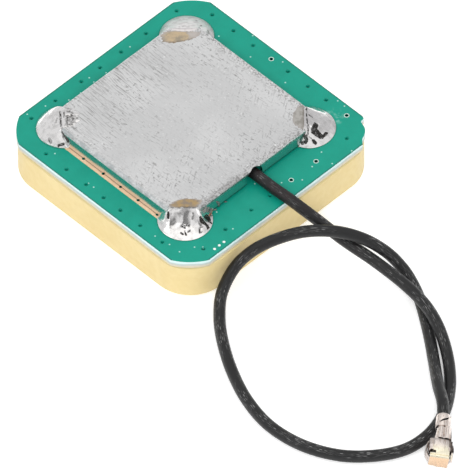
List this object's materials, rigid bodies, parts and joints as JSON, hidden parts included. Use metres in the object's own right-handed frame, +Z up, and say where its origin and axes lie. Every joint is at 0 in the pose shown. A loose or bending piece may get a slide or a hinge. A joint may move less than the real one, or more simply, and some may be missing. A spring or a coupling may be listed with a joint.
{
  "type": "gps antenna module",
  "caption": "Ceramic patch antenna bonded to a green amplifier board with a soldered shield can and a thin black coaxial lead ending in a micro coax plug",
  "frame": {"origin": "Centre of the patch face, which the module stands on; the lead and its plug aren't counted.", "axes": "+Z points up from the patch face to the shield can, +X to the side where the lead leaves the can, and +Y completes the right-handed frame."},
  "size_m": [0.0554, 0.0305, 0.0067],
  "materials": {
    "ceramic": "fired, matte",
    "silver": "fired silver, satin",
    "solder": "bright tin",
    "pin_metal": "tinned, satin",
    "adhesive": "tacky film",
    "solder_mask": "green solder mask",
    "gold_plating": "flash gold",
    "tinplate": "brushed tinplate",
    "filter_ceramic": "fired, with a metal lid",
    "moulding": "moulded",
    "capacitor_body": "fired, with tinned ends",
    "inductor_body": "wound, with tinned ends",
    "resistor_body": "glazed, with tinned ends",
    "jacket": "satin black",
    "braid": "silvered wire",
    "dielectric": "smooth white",
    "core": "silvered wire",
    "plug_bronze": "gold flash",
    "plug_insulator": "moulded",
    "plug_contact": "gold flash"
  },
  "bodies": {
    "root": {"ceramic_block": "ceramic", "patch_electrode": "silver", "ground_electrode": "silver", "feed_pin": "pin_metal", "patch_joint": "solder", "feed_joint": "solder", "adhesive_film": "adhesive", "circuit_board": "solder_mask", "ground_lands": "gold_plating", "corner_solder_left": "solder", "corner_solder_back": "solder", "corner_solder_right": "solder", "corner_solder_front": "solder", "shield_can": "tinplate", "band_filter": "filter_ceramic", "first_amplifier": "moulding", "second_amplifier": "moulding", "chip_capacitors": "capacitor_body", "chip_inductors": "inductor_body", "chip_resistors": "resistor_body", "tail_jacket": "jacket", "tail_braid": "braid", "tail_dielectric": "dielectric", "tail_core": "core", "braid_joint": "solder", "core_joint": "solder", "coax_lead": "jacket", "tip_jacket": "jacket", "tip_braid": "braid", "tip_dielectric": "dielectric", "tip_core": "core", "plug_shell": "plug_bronze", "plug_insulator": "plug_insulator", "plug_contact": "plug_contact"}
  },
  "joints": []
}
